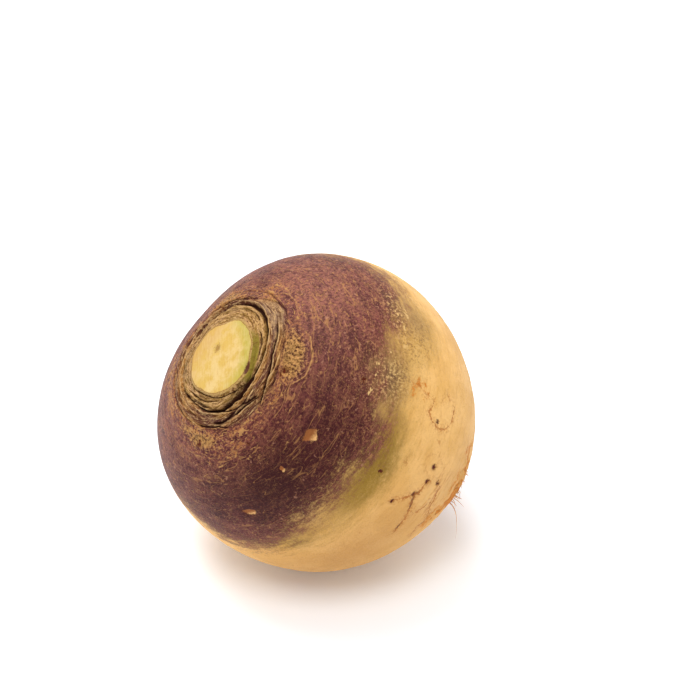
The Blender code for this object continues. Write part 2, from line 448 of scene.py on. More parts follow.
# Fine folds between them run much as the gap round the neck does.
fold_chance = random.Random(11)
for number in range(20, 20 + FINE_FOLDS):
    first = fold_chance.uniform(0.0, 360.0)
    last = first + fold_chance.uniform(22.0, 75.0)
    offset = fold_chance.uniform(-2.2, 6.5)
    slope = fold_chance.uniform(-0.03, 0.03)
    depth = fold_chance.uniform(0.25, 0.7)
    along = first + (azimuth - first) % 360.0
    lift += part_leaf_bases(
        number, depth, 0.5 * depth, first, last, neck_gap + offset + slope * (along - first),
        fold_chance.uniform(0.13, 0.22),
    )

# A groove round the foot of the neck, under the cut's edge, is also marked for painted shade.
foot = np.exp(-(((ring_radius - NECK_FOOT - 0.1) / 0.35) ** 2)) * on_ground
foot *= 0.35 + 0.65 * np.exp(-((turned_from(azimuth, 45.0) / 60.0) ** 2))
lift -= 0.6 * foot
marks["crevice"] = np.maximum(marks["crevice"], foot)
# A notch sunk into the rim, later painted dark in the flesh as painted shade.
notch = np.exp(
    -((turned_from(azimuth, 110.0) / 9.0) ** 2) - ((ring_radius - 13.6) / 0.9) ** 2
) * on_crown
lift -= 1.3 * notch
marks["notch"] = notch

# Papery wrinkles among the scars, old skin wrinkles on the shoulder, and slow swells.
down = np.radians(polar) * GIRTH_RADIUS
ringwise = np.stack([places[:, 0] / 8.0, places[:, 1] / 8.0, down], -1)
fibres = np.concatenate([around * 3.0, from_gap[:, None]], 1)
scar_edge = round_course(azimuth, SCAR_EDGE) - axis_distance
scar_edge = np.where(on_crown, scar_edge, -40.0)
among_scars = soft_step(scar_edge / 1.5 + 0.5) * on_ground
shoulder = np.exp(-(((polar - 30.0) / 12.0) ** 2)) * on_ground
smooth_skin = 1.0 - on_neck
lift += grown_noise(fibres, 0.45, 3, 0.14 * among_scars)
lift += grown_noise(fibres, 1.1, 4, 0.28 * among_scars)
lift += grown_noise(places, 1.0, 5, 0.16 * among_scars + 0.08 * shoulder)
lift += grown_noise(ringwise, 0.8, 6, 0.07 * shoulder)
lift += grown_noise(ringwise, 2.2, 7, 0.12 * shoulder)
lift += grown_noise(places, 22.0, 8, 0.30 * smooth_skin)
lift += grown_noise(places, 7.0, 9, 0.10 * smooth_skin)
lift += grown_noise(places, 2.2, 10, 0.035 * smooth_skin)
for swell_azimuth, swell_polar, spread, height in SWELLS:
    toward = direction(swell_azimuth, swell_polar)
    apart = np.degrees(np.arccos(np.clip(rays @ toward, -1.0, 1.0)))
    lift += height * np.exp(-((apart / spread) ** 2))

# The cut face is not quite flat, and is a little ragged.
on_face = on_crown & (ring_radius <= NECK_RADIUS)
lift += grown_noise(places, 5.0, 11, 0.12 * on_face) + grown_noise(places, 1.6, 12, 0.06 * on_face)
pith = np.exp(
    -(((places[:, 0] - PITH_PLACE[0]) / 1.3) ** 2) - ((places[:, 1] - PITH_PLACE[1]) / 1.1) ** 2
)
lift -= 0.35 * pith * on_face

# Wounds: nicks that went through the skin, cracks, and corky pits.
nick = np.full(len(places), 99.0)
# The share down each nick, by which its upper part is painted in shade.
nick_foot = np.zeros(len(places))
for depth, outline in NICKS:
    distance = inside_outline(places, outline)
    corners = np.array(outline)
    foot_share = (polar - corners[:, 1].min()) / np.ptp(corners[:, 1])
    nick_foot = np.where(distance < nick, foot_share, nick_foot)
    lift -= depth * soft_step(0.5 - distance / 1.2)
    nick = np.minimum(nick, distance)
crack = np.full(len(places), 99.0)
crack_near = np.zeros(len(places))
for strength, course in CRACKS:
    signed, near = signed_from_line(places, course)
    closer = np.abs(signed) < np.abs(crack)
    crack = np.where(closer, signed, crack)
    crack_near = np.where(closer, strength * near, crack_near)
lift -= 0.14 * crack_near * np.exp(-((crack / 0.7) ** 2))
marks["nick_foot"] = np.clip(nick_foot, 0.0, 1.0)
for spot_azimuth, spot_polar, size in SPOTS:
    spot = direction(spot_azimuth, spot_polar) * globe_reach(spot_polar)
    distance = np.linalg.norm(places - spot, axis=1)
    lift -= 0.4 * size * np.exp(-((distance / size) ** 2))
for name, spots in PATCHES.items():
    marks[name] = patch(azimuth, polar, spots)
lift += grown_noise(places, 1.6, 13, 0.60 * marks["cork"])
lift += np.abs(grown_noise(places, 4.0, 14, 2.0 * marks["cork"]))
lift += grown_noise(places, 1.2, 15, 0.14 * marks["rust"])
lift -= np.abs(grown_noise(places, 1.8, 18, 1.1 * marks["pitted"]))
lift += grown_noise(ringwise, 1.5, 19, 0.25 * marks["rust"])
lift += grown_noise(ringwise, 1.1, 20, 0.25 * marks["wrinkled"])

# The root end: grooves that run to the taproot, and creases round it.
toward_tip = soft_step((polar - 140.0) / 25.0)
grooves = np.stack([around[:, 0] * 5.0, around[:, 1] * 5.0, polar / 60.0], -1)
blunt = 0.9 * toward_tip * soft_step((179.0 - polar) / 8.0)
lift -= np.abs(grown_noise(grooves, 1.0, 16, blunt))
lift += grown_noise(ringwise, 1.4, 17, 0.35 * toward_tip)

places += rays * lift[:, None]
marks["nick"] = nick
marks["crack"] = crack
marks["crack_near"] = crack_near
marks["scar_edge"] = scar_edge
marks["from_gap"] = from_gap
marks["cut_edge"] = NECK_RADIUS - ring_radius
marks["purple_edge"] = round_course(azimuth, PURPLE_EDGE) - polar
marks["olive_edge"] = round_course(azimuth, OLIVE_EDGE) - polar
fresh = soft_step((16.0 - ring_radius) / 1.0) * on_crown
fresh *= soft_step(turned_from(azimuth, 80.0) / 30.0) * soft_step((178.0 - azimuth) / 45.0)
marks["fresh"] = fresh
grey_scar = soft_step((from_gap - 0.6) / 0.6) * soft_step(scar_edge / 0.4)
marks["grey_scar"] = grey_scar * np.exp(-((turned_from(azimuth, 166.0) / 20.0) ** 4))

# Lay it over, and settle it on its flat spot.
laid_over = Matrix.Rotation(math.radians(CROWN_HEADING), 3, "Z") @ Matrix.Rotation(
    math.radians(CROWN_LEAN), 3, "Y"
)
places = places @ np.array(laid_over).T + np.array(ROOT_CENTRE)
places[:, 2] = np.maximum(places[:, 2], 0.0)
root.data.vertices.foreach_set("co", (places * MM).ravel())
for name, values in marks.items():
    root.data.attributes.new(name, "FLOAT", "POINT").data.foreach_set("value", values)
root.data.update()

# A flat map of the skin for finishing: the crown half on one disc and the root half on another.
CROWN_DISC = (0.36, 0.635, 0.355)
ROOT_DISC = (0.775, 0.225, 0.22)
corner_vertex = np.empty(len(root.data.loops), np.int32)
root.data.loops.foreach_get("vertex_index", corner_vertex)
face_start = np.empty(len(root.data.polygons), np.int32)
face_size = face_start.copy()
root.data.polygons.foreach_get("loop_start", face_start)
root.data.polygons.foreach_get("loop_total", face_size)
corner_face = np.repeat(np.arange(len(face_start)), face_size)
girth_ring = int(np.argmin(np.abs(RING_HEIGHT)))
outline_run = np.concatenate(
    [[0.0], np.cumsum(np.hypot(np.diff(RING_RADIUS), np.diff(RING_HEIGHT)))]
)
face_ring = np.minimum.reduceat(ring[corner_vertex], face_start)
in_crown = (face_ring < girth_ring)[corner_face]
run = outline_run[ring[corner_vertex]]
crown_run = run / outline_run[girth_ring] * CROWN_DISC[2]
root_run = (outline_run[-1] - run) / (outline_run[-1] - outline_run[girth_ring]) * ROOT_DISC[2]
disc_radius = np.where(in_crown, crown_run, root_run)
turn_corner = np.radians(turn[corner_vertex])
flat_map = np.stack([
    np.where(in_crown, CROWN_DISC[0], ROOT_DISC[0]) + disc_radius * np.cos(turn_corner),
    np.where(in_crown, CROWN_DISC[1], ROOT_DISC[1])
    + disc_radius * np.sin(turn_corner) * np.where(in_crown, 1.0, -1.0),
], -1)
while root.data.uv_layers:
    root.data.uv_layers.remove(root.data.uv_layers[0])
root.data.uv_layers.new(name="OFBake").data.foreach_set("uv", flat_map.ravel())
bpy.ops.object.shade_smooth()


def linear(red, green, blue):
    """A colour on paper, 0 to 255 each, as the share of light that it scatters."""
    return tuple(((part / 255 + 0.055) / 1.055) ** 2.4 for part in (red, green, blue)) + (1.0,)


def add_node(tree, kind, sockets=None, **settings):
    """Adds a node, makes its settings, and links or sets its inputs."""
    node = tree.nodes.new(kind)
    for name, value in settings.items():
        setattr(node, name, value)
    for socket, value in (sockets or {}).items():
        if isinstance(value, bpy.types.NodeSocket):
            tree.links.new(value, node.inputs[socket])
        else:
            node.inputs[socket].default_value = value
    return node


def maths(tree, operation, *values):
    """A sum on one or more values."""
    return add_node(tree, "ShaderNodeMath", dict(enumerate(values)), operation=operation).outputs[0]


def times(tree, value, factor):
    """One value times another."""
    return maths(tree, "MULTIPLY", value, factor)


def plus(tree, value, more):
    """One value and another."""
    return maths(tree, "ADD", value, more)


def times_plus(tree, value, factor, more):
    """One value times another, and a third."""
    return maths(tree, "MULTIPLY_ADD", value, factor, more)


def rise(tree, value, start, end, low=0.0, high=1.0):
    """Goes smoothly from low to high as the value goes from start to end."""
    sockets = {"Value": value, "From Min": start, "From Max": end, "To Min": low, "To Max": high}
    return add_node(
        tree, "ShaderNodeMapRange", sockets, interpolation_type="SMOOTHSTEP"
    ).outputs["Result"]


def paint(tree, under, share, over):
    """One colour over another, by a share."""
    return add_node(
        tree, "ShaderNodeMix", {0: share, 6: under, 7: over}, data_type="RGBA"
    ).outputs[2]


def coats(tree, under, *layers):
    """A colour under several others, each laid on by its own share."""
    for share, over in layers:
        under = paint(tree, under, share, over)
    return under


def grain(tree, places, size, detail=2.0, roughness=0.5, warp=0.0):
    """Cloudy noise, 0 to 1 about a middle of 0.5, whose clouds are size mm across."""
    sockets = {
        "Vector": places, "Scale": 1.0 / size, "Detail": detail, "Roughness": roughness,
        "Distortion": warp,
    }
    return add_node(tree, "ShaderNodeTexNoise", sockets).outputs["Fac"]


def painted(tree, name):
    """A mark that the sculpting left on the mesh."""
    return add_node(tree, "ShaderNodeAttribute", attribute_name=name).outputs["Fac"]


def swing(tree, noise_value, most):
    """Noise about 0, from -most to most at its wildest."""
    return times_plus(tree, noise_value, 4.0 * most, -2.0 * most)


def root_places(tree):
    """Places in mm on the root's own axes: true, then drawn out a little and a lot round it."""
    object_places = add_node(tree, "ShaderNodeTexCoord").outputs["Object"]
    upright = add_node(
        tree, "ShaderNodeMapping",
        {
            "Vector": object_places,
            "Location": Vector(ROOT_CENTRE) * MM,
            "Rotation": (0.0, math.radians(CROWN_LEAN), math.radians(CROWN_HEADING)),
            "Scale": (MM, MM, MM),
        },
        vector_type="TEXTURE",
    ).outputs["Vector"]
    parts = add_node(tree, "ShaderNodeSeparateXYZ", {0: upright}).outputs
    length = add_node(
        tree, "ShaderNodeVectorMath", {0: upright}, operation="LENGTH"
    ).outputs["Value"]
    polar = maths(tree, "ARCCOSINE", maths(tree, "DIVIDE", parts["Z"], length))
    down = times(tree, polar, GIRTH_RADIUS)
    drawn_out = [
        add_node(
            tree, "ShaderNodeCombineXYZ",
            {
                "X": times(tree, parts["X"], 1.0 / stretch),
                "Y": times(tree, parts["Y"], 1.0 / stretch),
                "Z": down,
            },
        ).outputs["Vector"]
        for stretch in (2.2, 5.0)
    ]
    return upright, *drawn_out


def new_group(name, inputs, output):
    """A node group with a vector input, number inputs and one number output."""
    group = bpy.data.node_groups.new(name, "ShaderNodeTree")
    group.interface.new_socket("Places", in_out="INPUT", socket_type="NodeSocketVector")
    for socket, value in inputs.items():
        group.interface.new_socket(
            socket, in_out="INPUT", socket_type="NodeSocketFloat"
        ).default_value = value
    group.interface.new_socket(output, in_out="OUTPUT", socket_type="NodeSocketFloat")
    return group, group.nodes.new("NodeGroupInput").outputs, group.nodes.new("NodeGroupOutput")


def use_group(tree, group, sockets):
    """Places a group in a material with its own values."""
    return add_node(tree, "ShaderNodeGroup", sockets, node_tree=group).outputs[0]


# Small corky dots and dashes where the skin's pores have healed. Cover is the share that shows.
cork_flecks, given, result = new_group("cork_flecks", {"Size": 1.0, "Cover": 0.5}, "Flecks")
ragged = add_node(
    cork_flecks, "ShaderNodeTexNoise",
    {
        "Vector": given["Places"], "Detail": 2.0,
        "Scale": maths(cork_flecks, "DIVIDE", 1.3, given["Size"]),
    },
).outputs["Color"]
ragged = add_node(
    cork_flecks, "ShaderNodeVectorMath",
    {0: ragged, 1: (0.5, 0.5, 0.5)}, operation="SUBTRACT",
).outputs["Vector"]
scaled = add_node(
    cork_flecks, "ShaderNodeVectorMath",
    {0: given["Places"], "Scale": maths(cork_flecks, "DIVIDE", 1.0, given["Size"])},
    operation="SCALE",
).outputs["Vector"]
ragged = add_node(
    cork_flecks, "ShaderNodeVectorMath", {0: ragged, 1: (2.2, 2.2, 2.2), 2: scaled},
    operation="MULTIPLY_ADD",
).outputs["Vector"]
cells = add_node(cork_flecks, "ShaderNodeTexVoronoi", {"Vector": ragged, "Scale": 1.0}).outputs
chance = add_node(cork_flecks, "ShaderNodeSeparateColor", {0: cells["Color"]}).outputs
shown = maths(cork_flecks, "SUBTRACT", given["Cover"], chance[0])
reach = times_plus(cork_flecks, chance[1], 0.30, 0.10)
reach = times(cork_flecks, reach, rise(cork_flecks, shown, 0.0, 0.12))
dot = maths(cork_flecks, "SUBTRACT", reach, cells["Distance"])
cork_flecks.links.new(rise(cork_flecks, dot, -0.10, 0.05), result.inputs["Flecks"])

# Fine threads of cork where the skin was rubbed, or cracked as it swelled. They come and go.
cork_threads, given, result = new_group(
    "cork_threads", {"Size": 3.0, "Width": 0.02, "Cover": 0.5}, "Threads"
)
turned = add_node(
    cork_threads, "ShaderNodeTexNoise",
    {
        "Vector": given["Places"], "Detail": 2.0, "Roughness": 0.5, "Distortion": 0.15,
        "Scale": maths(cork_threads, "DIVIDE", 1.0, given["Size"]),
    },
).outputs["Fac"]
from_thread = maths(cork_threads, "ABSOLUTE", maths(cork_threads, "SUBTRACT", turned, 0.5))
broken = add_node(
    cork_threads, "ShaderNodeTexNoise",
    {
        "Vector": given["Places"], "Detail": 2.0, "Roughness": 0.7,
        "Scale": maths(cork_threads, "DIVIDE", 1.2, given["Size"]),
    },
).outputs["Fac"]
broken = plus(cork_threads, broken, maths(cork_threads, "SUBTRACT", given["Cover"], 1.0))
width = times(cork_threads, given["Width"], rise(cork_threads, broken, -0.06, 0.12))
cork_threads.links.new(
    rise(cork_threads, maths(cork_threads, "SUBTRACT", width, from_thread), -0.008, 0.006),
    result.inputs["Threads"],
)

PLUM = linear(105, 43, 47)
DEEP_PLUM_AND_SHADE = linear(47, 7, 8)
PALE_PLUM_AND_SHEEN = linear(140, 86, 80)
PLUM_SHADE = linear(53, 15, 16)
VEIL_TAN = linear(166, 108, 78)
GOLD_THREAD = linear(176, 124, 74)
PINK_FLECK = linear(176, 124, 96)
APRICOT = linear(226, 174, 98)
BUTTER = linear(238, 188, 115)
TAN_STREAK = linear(200, 142, 70)
LOW_SHADE_TAN = linear(182, 130, 70)
OLIVE_GREEN = linear(128, 98, 18)
STRAW_GREEN = linear(176, 136, 62)
GREY_GREEN = linear(128, 98, 62)
MUD_PURPLE = linear(96, 64, 46)
EDGE_CREAM = linear(214, 174, 112)
RUST_TAN = linear(164, 106, 52)
RUST_GOLD = linear(186, 136, 80)
RUST_BROWN = linear(84, 42, 20)
RUST_PALE = linear(196, 148, 96)
PITTED_OLIVE = linear(150, 112, 60)
CORK_ORANGE = linear(198, 118, 42)
CORK_TAN = linear(210, 154, 86)
BARK_AND_SHADE_BROWN = linear(84, 42, 18)
CRACK_TAN = linear(172, 104, 44)
PIT_AND_SHADE_BLACK = linear(46, 13, 3)
PIT_BROWN = linear(84, 24, 4)
SCAR_TAN = linear(152, 102, 60)
SCAR_CREAM = linear(200, 160, 108)
SCAR_GOLD = linear(168, 120, 60)
SCAR_OLIVE = linear(134, 106, 44)
SCAR_BROWN = linear(84, 46, 22)
SCAR_PURPLE = linear(74, 36, 40)
LIP_CREAM = linear(194, 156, 106)
LEAF_GREEN = linear(138, 122, 42)
SCAR_GREY = linear(150, 122, 98)
NICK_FLESH = linear(212, 162, 102)
NICK_SHADE = linear(142, 84, 42)

skin = bpy.data.materials.new("rutabaga_skin")
skin.use_nodes = True
tree = skin.node_tree
shader = tree.nodes["Principled BSDF"]
shader.inputs["Specular IOR Level"].default_value = 0.12
upright, ovalled, drawn_out = root_places(tree)
fine = grain(tree, upright, 0.55, 3.0, 0.65)
coarse = grain(tree, upright, 0.9, 3.0, 0.65)
finest = grain(tree, upright, 0.3, 2.0, 0.6)
speckle = grain(tree, ovalled, 0.42, 3.0, 0.65)
cloud = grain(tree, upright, 15.0, 3.0, 0.5)
small_cloud = grain(tree, ovalled, 3.4, 4.0, 0.62)
ring_streak = grain(tree, drawn_out, 1.5, 3.0, 0.6)
parts = add_node(tree, "ShaderNodeSeparateXYZ", {0: upright}).outputs
crossways = add_node(
    tree, "ShaderNodeCombineXYZ", {"X": parts["X"], "Y": parts["Y"], "Z": 0.0}
).outputs["Vector"]
outward = add_node(
    tree, "ShaderNodeVectorMath", {0: crossways}, operation="NORMALIZE"
).outputs["Vector"]
outward = add_node(tree, "ShaderNodeSeparateXYZ", {0: outward}).outputs
fibre_places = add_node(
    tree, "ShaderNodeCombineXYZ",
    {
        "X": times(tree, outward["X"], 2.0),
        "Y": times(tree, outward["Y"], 2.0),
        "Z": painted(tree, "from_gap"),
    },
).outputs["Vector"]
fibre = grain(tree, fibre_places, 0.34, 2.0, 0.7)
broad_fibre = grain(tree, fibre_places, 1.0, 3.0, 0.6)

# Purple skin: plum, deeper low on its shaded side (partly darker skin, partly painted shade) and
# paler over the top (partly paler skin, partly a painted sheen), under a thin veil of cork that
# thickens into threads, dots and rusty patches.
purple = coats(
    tree, PLUM,
    (rise(tree, cloud, 0.36, 0.62, 0.0, 0.5), DEEP_PLUM_AND_SHADE),
    (times(tree, painted(tree, "deep_and_shade"), 0.9), DEEP_PLUM_AND_SHADE),
    (times(tree, painted(tree, "pale_and_sheen"), 0.8), PALE_PLUM_AND_SHEEN),
)
crown_side = rise(tree, painted(tree, "purple_edge"), 6.0, 40.0)
veil = times_plus(tree, painted(tree, "deep_and_shade"), -0.5, swing(tree, small_cloud, 0.8))
veil = times_plus(tree, crown_side, 0.25, veil)
purple = paint(tree, purple, rise(tree, veil, -0.5, 1.1, 0.0, 0.5), VEIL_TAN)
less_deep_and_shade = times_plus(tree, painted(tree, "deep_and_shade"), -0.6, 1.0)
veil_flecks = rise(tree, coarse, 0.52, 0.68, 0.0, 0.5)
veil_flecks = maths(tree, "MAXIMUM", veil_flecks, rise(tree, speckle, 0.54, 0.7, 0.0, 0.6))
purple = coats(
    tree, purple,
    (rise(tree, small_cloud, 0.54, 0.36, 0.0, 0.45), PLUM_SHADE),
    (rise(tree, coarse, 0.52, 0.38, 0.0, 0.6), PLUM_SHADE),
    (times(tree, veil_flecks, less_deep_and_shade), VEIL_TAN),
    (rise(tree, finest, 0.48, 0.32, 0.0, 0.6), PLUM_SHADE),
)
thread_cover = times_plus(tree, crown_side, 0.07, 0.46)
thread_cover = times_plus(tree, painted(tree, "deep_and_shade"), -0.1, thread_cover)
threads = use_group(
    tree, cork_threads,
    {"Places": ovalled, "Size": 4.0, "Width": 0.009, "Cover": thread_cover},
)
long_threads = use_group(
    tree, cork_threads, {"Places": drawn_out, "Size": 3.2, "Width": 0.012, "Cover": 0.48}
)
dots = use_group(
    tree, cork_flecks,
    {
        "Places": upright, "Size": 1.4,
        "Cover": times_plus(tree, painted(tree, "pale_and_sheen"), 0.4, 0.16),
    },
)
dashes = use_group(tree, cork_flecks, {"Places": ovalled, "Size": 0.9, "Cover": 0.3})
stipple_cover = times_plus(tree, painted(tree, "deep_and_shade"), -0.3, 0.42)
stipple_cover = times_plus(tree, painted(tree, "pale_and_sheen"), 0.1, stipple_cover)
stipple = use_group(
    tree, cork_flecks, {"Places": upright, "Size": 0.75, "Cover": stipple_cover}
)
stipple = times(tree, stipple, less_deep_and_shade)
purple = coats(
    tree, purple,
    (times(tree, stipple, 0.5), GOLD_THREAD),
    (times(tree, threads, 0.6), GOLD_THREAD),
    (times(tree, long_threads, 0.6), GOLD_THREAD),
)
dashes = times(tree, dashes, less_deep_and_shade)
purple = paint(tree, purple, times(tree, dashes, 0.6), GOLD_THREAD)
purple = paint(tree, purple, times(tree, dots, 0.6), PINK_FLECK)
near_crown = rise(tree, painted(tree, "purple_edge"), 22.0, 40.0)
rust_share = plus(tree, swing(tree, small_cloud, 0.6), swing(tree, speckle, 0.7))
rust_share = plus(tree, rust_share, swing(tree, coarse, 0.7))
rusty = maths(tree, "MAXIMUM", near_crown, painted(tree, "rust"))
rust_share = times(tree, rust_share, times_plus(tree, rusty, 0.6, 0.4))
rust_share = times_plus(tree, painted(tree, "rust"), 0.75, rust_share)
rust_share = times_plus(tree, near_crown, 0.16, rust_share)
rust_share = times_plus(tree, painted(tree, "deep_and_shade"), -0.25, rust_share)
rust = paint(tree, RUST_TAN, rise(tree, coarse, 0.52, 0.4), RUST_BROWN)
rust = paint(tree, rust, rise(tree, fine, 0.53, 0.66), RUST_PALE)
purple = paint(tree, purple, rise(tree, rust_share, 0.35, 0.85, 0.0, 0.9), rust)
strand_cover = times_plus(tree, near_crown, 0.22, 0.30)
strand_cover = times_plus(tree, painted(tree, "rust"), 0.15, strand_cover)
strands = use_group(
    tree, cork_threads,
    {"Places": ovalled, "Size": 2.4, "Width": 0.026, "Cover": strand_cover},
)
purple = paint(tree, purple, times(tree, strands, 0.8), RUST_GOLD)
# A last wash of deep plum over the deep patches: partly darker skin, partly painted shade.
purple = paint(tree, purple, times(tree, painted(tree, "deep_and_shade"), 0.38), DEEP_PLUM_AND_SHADE)
pitted = plus(tree, painted(tree, "pitted"), swing(tree, coarse, 0.35))
pitted_skin = paint(tree, PITTED_OLIVE, rise(tree, coarse, 0.5, 0.6), RUST_GOLD)
pitted_skin = paint(tree, pitted_skin, rise(tree, coarse, 0.49, 0.4), RUST_BROWN)
purple = paint(tree, purple, rise(tree, pitted, 0.35, 0.75, 0.0, 0.85), pitted_skin)
holes = times(tree, painted(tree, "pitted"), rise(tree, coarse, 0.42, 0.34))
purple = paint(tree, purple, times(tree, holes, 0.9), PIT_AND_SHADE_BLACK)

# Yellow skin, which grew in the soil: apricot and butter, with faint streaks round it, and painted
# shade low on its side.
yellow = coats(
    tree, APRICOT,
    (rise(tree, cloud, 0.42, 0.6), BUTTER),
    (rise(tree, ring_streak, 0.5, 0.75, 0.0, 0.35), TAN_STREAK),
    (rise(tree, small_cloud, 0.52, 0.75, 0.0, 0.4), TAN_STREAK),
    (rise(tree, coarse, 0.55, 0.75, 0.0, 0.3), TAN_STREAK),
    (times(tree, painted(tree, "low_shade"), 0.7), LOW_SHADE_TAN),
)
# In the wrinkled patches the skin is painted in darker tan and paler cream streaks round it.
darker_streaks = times(tree, painted(tree, "wrinkled"), rise(tree, ring_streak, 0.5, 0.62))
yellow = paint(tree, yellow, times(tree, darker_streaks, 0.65), CRACK_TAN)
paler_streaks = times(tree, painted(tree, "wrinkled"), rise(tree, ring_streak, 0.48, 0.38))
yellow = paint(tree, yellow, times(tree, paler_streaks, 0.5), EDGE_CREAM)
pores = use_group(tree, cork_flecks, {"Places": upright, "Size": 2.6, "Cover": 0.12})
yellow = paint(tree, yellow, times(tree, pores, 0.45), CRACK_TAN)

# The change from purple to yellow goes through olive and grey-green, with a ragged edge.
ragged_edge = plus(tree, swing(tree, small_cloud, 5.0), swing(tree, speckle, 3.5))
ragged_edge = plus(tree, ragged_edge, swing(tree, coarse, 4.0))
ragged_edge = plus(tree, ragged_edge, swing(tree, ring_streak, 3.0))
to_olive = times_plus(tree, ragged_edge, 0.6, painted(tree, "olive_edge"))
to_purple = plus(tree, painted(tree, "purple_edge"), ragged_edge)
olive = coats(
    tree, STRAW_GREEN,
    (painted(tree, "grey"), GREY_GREEN),
    (rise(tree, coarse, 0.5, 0.36, 0.0, 0.6), MUD_PURPLE),
    (rise(tree, speckle, 0.53, 0.7, 0.0, 0.7), APRICOT),
    (rise(tree, to_purple, -16.0, 0.0, 0.0, 0.55), MUD_PURPLE),
)
olive_skin = paint(tree, OLIVE_GREEN, rise(tree, speckle, 0.5, 0.7, 0.0, 0.5), STRAW_GREEN)
olive = paint(tree, olive, rise(tree, painted(tree, "green"), 0.1, 0.75, 0.0, 0.95), olive_skin)
olive_share = plus(tree, painted(tree, "green"), painted(tree, "grey"))
olive_share = times_plus(tree, olive_share, 0.4, 0.55)
olive_share = times(tree, olive_share, rise(tree, to_olive, -6.0, 7.0))
colour = paint(tree, yellow, maths(tree, "MINIMUM", olive_share, 0.94), olive)
colour = paint(tree, colour, rise(tree, to_purple, -9.5, 2.5), purple)
flake_cover = times_plus(tree, painted(tree, "flaky"), 0.6, 0.0)
flakes = use_group(tree, cork_flecks, {"Places": ovalled, "Size": 2.0, "Cover": flake_cover})
on_edge = rise(tree, maths(tree, "ABSOLUTE", painted(tree, "purple_edge")), 16.0, 4.0)
on_edge = maths(tree, "MAXIMUM", on_edge, painted(tree, "flaky"))
colour = paint(tree, colour, times(tree, flakes, on_edge), EDGE_CREAM)
mottling = times(tree, painted(tree, "flaky"), rise(tree, coarse, 0.52, 0.6))
colour = paint(tree, colour, times(tree, mottling, 0.8), EDGE_CREAM)
mottling = times(tree, painted(tree, "flaky"), rise(tree, coarse, 0.47, 0.4))
colour = paint(tree, colour, times(tree, mottling, 0.7), MUD_PURPLE)

# Corky bark on the root end, brown and orange.
cork_share = plus(tree, swing(tree, small_cloud, 0.6), swing(tree, coarse, 0.4))
cork_share = times(tree, cork_share, rise(tree, painted(tree, "cork"), 0.0, 0.3))
cork_share = plus(tree, painted(tree, "cork"), cork_share)
cork = coats(
    tree, CORK_TAN,
    (rise(tree, small_cloud, 0.44, 0.56), CORK_ORANGE),
    (rise(tree, coarse, 0.48, 0.36, 0.0, 0.6), BARK_AND_SHADE_BROWN),
    (rise(tree, speckle, 0.55, 0.7, 0.0, 0.6), APRICOT),
)
colour = paint(tree, colour, rise(tree, cork_share, 0.2, 0.7, 0.0, 0.92), cork)

# Leaf scars: tan and olive fibres, purple in places, grey on the broad old scar, and painted
# shade near black in the gaps between them.
patchy = grain(tree, fibre_places, 2.4, 2.0, 0.5)
scar = coats(
    tree, SCAR_BROWN,
    (rise(tree, broad_fibre, 0.34, 0.52), SCAR_TAN),
    (rise(tree, patchy, 0.48, 0.58, 0.0, 0.7), SCAR_GOLD),
    (rise(tree, patchy, 0.5, 0.41, 0.0, 0.85), SCAR_PURPLE),
)
inner = rise(tree, plus(tree, painted(tree, "from_gap"), swing(tree, fine, 0.5)), 0.4, -0.4)
inner_scar = paint(tree, SCAR_OLIVE, rise(tree, broad_fibre, 0.42, 0.62), SCAR_CREAM)
scar = coats(
    tree, scar,
    (times(tree, inner, 0.6), inner_scar),
    (times(tree, painted(tree, "grey_scar"), 0.6), SCAR_GREY),
    (rise(tree, fibre, 0.5, 0.66, 0.0, 0.8), SCAR_CREAM),
    (rise(tree, fibre, 0.48, 0.34, 0.0, 0.85), SCAR_BROWN),
    (rise(tree, coarse, 0.48, 0.34, 0.0, 0.8), SCAR_BROWN),
    (rise(tree, speckle, 0.54, 0.7, 0.0, 0.6), SCAR_CREAM),
)
fresh_skin = paint(tree, LEAF_GREEN, rise(tree, fibre, 0.5, 0.36), SCAR_OLIVE)
fresh = plus(tree, painted(tree, "fresh"), swing(tree, broad_fibre, 0.25))
scar = paint(tree, scar, rise(tree, fresh, 0.25, 0.9, 0.0, 0.9), fresh_skin)
scar_ragged = plus(tree, painted(tree, "scar_edge"), swing(tree, small_cloud, 1.6))
in_scars = rise(tree, scar_ragged, -0.5, 0.7)
colour = paint(tree, colour, in_scars, scar)
lip_share = plus(tree, painted(tree, "lip"), swing(tree, fibre, 0.3))
lip_share = plus(tree, lip_share, swing(tree, speckle, 0.35))
lip_colour = paint(tree, RUST_GOLD, in_scars, LIP_CREAM)
colour = paint(tree, colour, rise(tree, lip_share, 0.45, 1.05, 0.0, 0.8), lip_colour)
# Painted shade: the gaps between the leaf bases and the groove round the neck's foot go near black.
crevice_share = plus(tree, painted(tree, "crevice"), swing(tree, fine, 0.12))
colour = paint(tree, colour, rise(tree, crevice_share, 0.35, 0.85, 0.0, 0.97), PIT_AND_SHADE_BLACK)

# Wounds: flesh shows in the nicks, with painted shade over their upper part under the rim, and the
# cracks and pits are brown.
nick_line = plus(tree, painted(tree, "nick"), swing(tree, fine, 0.3))
nick_foot = plus(tree, painted(tree, "nick_foot"), swing(tree, coarse, 0.15))
nick_colour = paint(tree, NICK_SHADE, rise(tree, nick_foot, 0.45, 0.85), NICK_FLESH)
colour = paint(tree, colour, rise(tree, nick_line, 0.15, -0.25), nick_colour)
crack_wander = plus(tree, swing(tree, cloud, 0.8), swing(tree, small_cloud, 0.55))
crack_line = maths(tree, "ABSOLUTE", plus(tree, painted(tree, "crack"), crack_wander))
crack_width = plus(tree, swing(tree, coarse, 0.5), swing(tree, small_cloud, 0.4))
crack_width = plus(tree, crack_width, 0.3)
crack_mask = rise(tree, maths(tree, "SUBTRACT", crack_width, crack_line), -0.35, 0.25)
crack_mask = times(tree, crack_mask, painted(tree, "crack_near"))
crack_dark = times_plus(tree, painted(tree, "crack_near"), 0.3, small_cloud)
